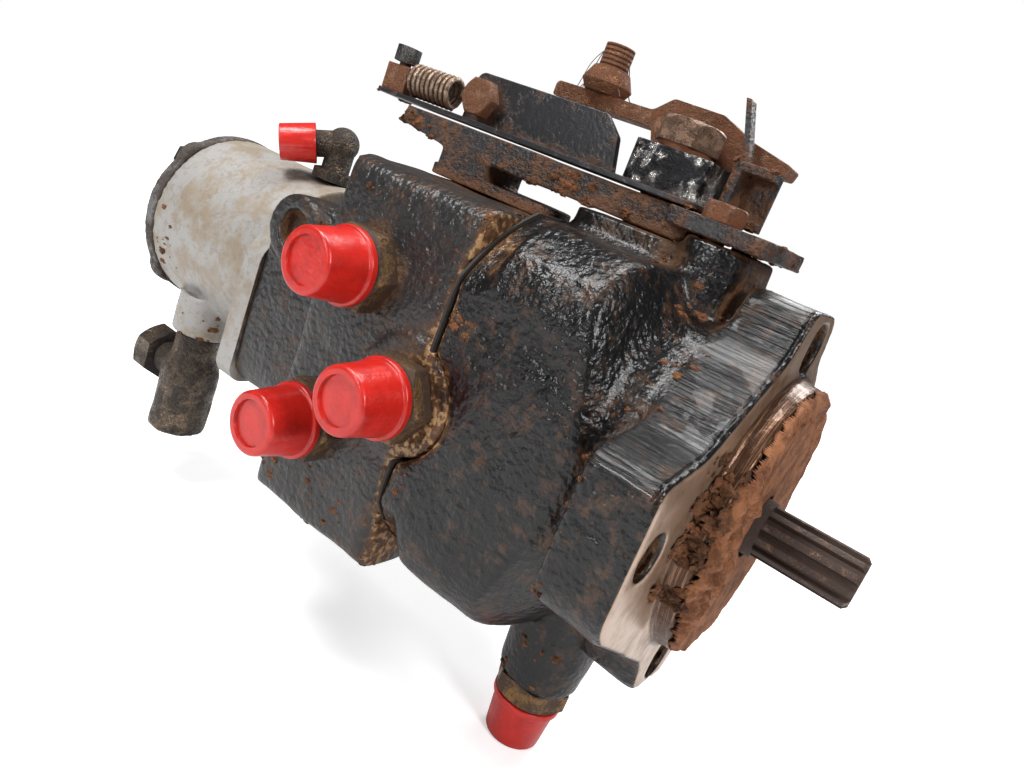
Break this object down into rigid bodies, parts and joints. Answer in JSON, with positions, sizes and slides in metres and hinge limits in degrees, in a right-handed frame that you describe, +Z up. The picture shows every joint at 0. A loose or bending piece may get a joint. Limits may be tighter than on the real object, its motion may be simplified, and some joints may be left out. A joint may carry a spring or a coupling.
{
  "type": "axial piston pump",
  "caption": "Variable axial piston pump with splined shaft, bolt-on flange, control lever on its tilting swashplate and a tandem gear pump; ports are capped.",
  "frame": {"origin": "where the shaft axis meets the flange's mounting face", "axes": "+X along the shaft out of the drive end, +Y away from the port side, +Z up through the control lever"},
  "size_m": [0.352, 0.1789, 0.2669],
  "materials": {
    "painted_iron": "gloss black enamel over sand-cast iron, with rust-brown dirt",
    "gasket": "compressed fibre",
    "cap_red": "satin red polyethylene",
    "fitting_steel": "tarnished steel hexagon fitting",
    "dark_bolt": "black-oxide steel",
    "bearing_steel": "ground bearing steel",
    "shaft_steel": "brown-stained ground steel",
    "bronze": "bronze",
    "seal_rubber": "black nitrile",
    "iron": "machined ductile iron",
    "aluminium_cast": "dull, dirty die-cast aluminium",
    "gear_cover_iron": "grey casting with dirt",
    "dirty_fitting": "greasy steel",
    "bracket_steel": "dark plate with rust and dirt",
    "hub_steel": "worn bright steel",
    "rusty_steel": "rust-brown steel",
    "spring_steel": "brown spring wire"
  },
  "bodies": {
    "casing": {"case_housing": "painted_iron", "case_gasket": "gasket", "port_block": "painted_iron", "case_bolts": "dark_bolt", "drain_fitting": "fitting_steel", "drain_cap": "cap_red", "port_fittings": "fitting_steel", "port_caps": "cap_red", "shaft_seal": "seal_rubber", "front_bearing_cup": "bearing_steel", "ball_guide": "iron", "cylinder_block": "iron", "block_spring": "spring_steel", "valve_plate": "bronze", "rear_bearing": "bearing_steel", "trunnion_bushes": "bronze", "pump_adapter": "painted_iron", "adapter_bolts": "dark_bolt", "gear_pump_flange": "aluminium_cast", "gear_pump_body": "aluminium_cast", "gear_pump_cover": "gear_cover_iron", "gear_pump_bolts": "dark_bolt", "bearing_blocks": "bronze", "inlet_tee": "dirty_fitting", "inlet_nut": "dirty_fitting", "charge_elbow": "dirty_fitting", "charge_cap": "cap_red", "neutral_bracket": "bracket_steel", "bracket_bolts": "rusty_steel"},
    "shaft_train": {"drive_shaft": "shaft_steel", "front_bearing_cone": "bearing_steel", "shaft_coupling": "shaft_steel", "drive_gear": "shaft_steel"},
    "driven_gear": {"driven_gear": "shaft_steel"},
    "swash": {"swashplate": "iron", "thrust_plate": "bearing_steel", "trunnion_shaft": "iron", "retainer_plate": "iron", "lever_plate": "bracket_steel", "hub_block": "hub_steel", "hub_bolt": "rusty_steel", "hub_washer": "rusty_steel", "control_arm": "rusty_steel", "ball_stud": "rusty_steel", "spring_anchor": "rusty_steel", "anchor_screw": "dark_bolt", "spring_bolt": "rusty_steel", "lever_spring": "spring_steel", "front_yoke": "bracket_steel", "yoke_plate": "bracket_steel"},
    "piston_1_body": {"piston_1": "bearing_steel"},
    "slipper_1_body": {"slipper_1": "bronze"},
    "piston_2_body": {"piston_2": "bearing_steel"},
    "slipper_2_body": {"slipper_2": "bronze"},
    "piston_3_body": {"piston_3": "bearing_steel"},
    "slipper_3_body": {"slipper_3": "bronze"},
    "piston_4_body": {"piston_4": "bearing_steel"},
    "slipper_4_body": {"slipper_4": "bronze"},
    "piston_5_body": {"piston_5": "bearing_steel"},
    "slipper_5_body": {"slipper_5": "bronze"}
  },
  "joints": [
    {"name": "shaft_spin", "type": "hinge", "parent": "casing", "child": "shaft_train", "pos_m": [0, 0, 0], "axis": [1, 0, 0], "continuous": true},
    {"name": "driven_gear_spin", "type": "hinge", "parent": "casing", "child": "driven_gear", "pos_m": [-0.257, 0, -0.022], "axis": [1, 0, 0], "continuous": true},
    {"name": "swash_tilt", "type": "hinge", "parent": "casing", "child": "swash", "pos_m": [-0.07, 0, 0], "axis": [0, 0, 1], "range_deg": [-14, 14]},
    {"name": "piston_1_stroke", "type": "slide", "parent": "casing", "child": "piston_1_body", "axis": [1, 0, 0], "range_m": [-0.00707, 0.00707]},
    {"name": "slipper_1_swing", "type": "hinge", "parent": "piston_1_body", "child": "slipper_1_body", "pos_m": [-0.07, 0.0285, 0], "axis": [0, 0, 1], "range_deg": [-14.1, 14.1]},
    {"name": "piston_2_stroke", "type": "slide", "parent": "casing", "child": "piston_2_body", "axis": [1, 0, 0], "range_m": [-0.00541, 0.00541]},
    {"name": "slipper_2_swing", "type": "hinge", "parent": "piston_2_body", "child": "slipper_2_body", "pos_m": [-0.07, 0.02183, 0], "axis": [0, 0, 1], "range_deg": [-14.1, 14.1]},
    {"name": "piston_3_stroke", "type": "slide", "parent": "casing", "child": "piston_3_body", "axis": [1, 0, 0], "range_m": [-0.00123, 0.00123]},
    {"name": "slipper_3_swing", "type": "hinge", "parent": "piston_3_body", "child": "slipper_3_body", "pos_m": [-0.07, 0.00495, 0], "axis": [0, 0, 1], "range_deg": [-14.1, 14.1]},
    {"name": "piston_4_stroke", "type": "slide", "parent": "casing", "child": "piston_4_body", "axis": [1, 0, 0], "range_m": [-0.00353, 0.00353]},
    {"name": "slipper_4_swing", "type": "hinge", "parent": "piston_4_body", "child": "slipper_4_body", "pos_m": [-0.07, -0.01425, 0], "axis": [0, 0, 1], "range_deg": [-14.1, 14.1]},
    {"name": "piston_5_stroke", "type": "slide", "parent": "casing", "child": "piston_5_body", "axis": [1, 0, 0], "range_m": [-0.00664, 0.00664]},
    {"name": "slipper_5_swing", "type": "hinge", "parent": "piston_5_body", "child": "slipper_5_body", "pos_m": [-0.07, -0.02678, 0], "axis": [0, 0, 1], "range_deg": [-14.1, 14.1]}
  ],
  "couplings": [
    {"joint": "driven_gear_spin", "follows": "shaft_spin", "ratio": -1},
    {"joint": "piston_1_stroke", "follows": "swash_tilt", "m_per_rad": -0.028899},
    {"joint": "slipper_1_swing", "follows": "swash_tilt", "ratio": 1},
    {"joint": "piston_2_stroke", "follows": "swash_tilt", "m_per_rad": -0.022138},
    {"joint": "slipper_2_swing", "follows": "swash_tilt", "ratio": 1},
    {"joint": "piston_3_stroke", "follows": "swash_tilt", "m_per_rad": -0.005018},
    {"joint": "slipper_3_swing", "follows": "swash_tilt", "ratio": 1},
    {"joint": "piston_4_stroke", "follows": "swash_tilt", "m_per_rad": 0.014449},
    {"joint": "slipper_4_swing", "follows": "swash_tilt", "ratio": 1},
    {"joint": "piston_5_stroke", "follows": "swash_tilt", "m_per_rad": 0.027156},
    {"joint": "slipper_5_swing", "follows": "swash_tilt", "ratio": 1}
  ]
}
